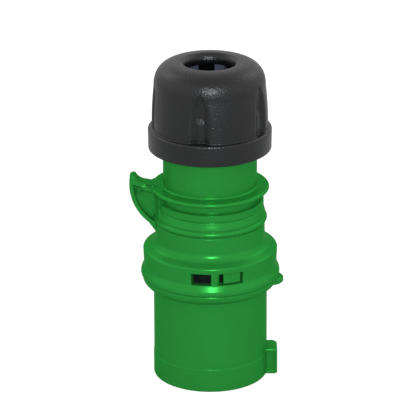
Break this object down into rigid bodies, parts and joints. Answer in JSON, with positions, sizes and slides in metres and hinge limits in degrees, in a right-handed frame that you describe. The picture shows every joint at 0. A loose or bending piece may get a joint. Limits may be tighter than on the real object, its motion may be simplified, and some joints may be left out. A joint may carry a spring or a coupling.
{
  "type": "pin and sleeve plug",
  "caption": "Industrial cable plug: round contact pins in a keyed shroud, twist-locked housing with a finger fin, and a black gland nut at the cable end.",
  "frame": {"origin": "on the plug's axis, in the plane of the shroud's rim", "axes": "+Z along the plug's axis to the cable end, +X towards the shroud's key, so -Z is the way the plug goes into its socket"},
  "size_m": [0.0594, 0.0538, 0.1275],
  "materials": {
    "green_polyamide": "satin moulded polyamide",
    "black_polyamide": "fine eroded grain",
    "grey_polyamide": "satin moulded polyamide",
    "insert_polyamide": "satin moulded, glass filled",
    "black_rubber": "matt",
    "turned_brass": "turned",
    "zinc_plated_steel": "zinc plated"
  },
  "bodies": {
    "plug": {"lower_housing": "green_polyamide", "upper_housing": "green_polyamide", "housing_seal": "black_rubber", "contact_carrier": "insert_polyamide", "retaining_plate": "insert_polyamide", "carrier_screw": "zinc_plated_steel", "pin_line": "turned_brass", "pin_neutral": "turned_brass", "pin_earth": "turned_brass", "terminal_screw_line": "zinc_plated_steel", "terminal_screw_neutral": "zinc_plated_steel", "terminal_screw_earth": "zinc_plated_steel", "pressure_plate_line": "zinc_plated_steel", "pressure_plate_neutral": "zinc_plated_steel", "pressure_plate_earth": "zinc_plated_steel", "cable_grommet": "black_rubber", "grommet_core": "black_rubber", "clamp_cage": "grey_polyamide"},
    "slip": {"slip_ring": "grey_polyamide"},
    "nut": {"cap_nut": "black_polyamide"}
  },
  "joints": [
    {"name": "nut_lift", "type": "slide", "parent": "plug", "child": "slip", "axis": [0, 0, 1], "range_m": [0, 0.009]},
    {"name": "nut_turn", "type": "hinge", "parent": "slip", "child": "nut", "pos_m": [0, 0, 0.0975], "axis": [0, 0, 1], "range_deg": [0, 1080]}
  ],
  "couplings": [
    {"joint": "nut_lift", "follows": "nut_turn", "m_per_rad": 0.000477}
  ]
}
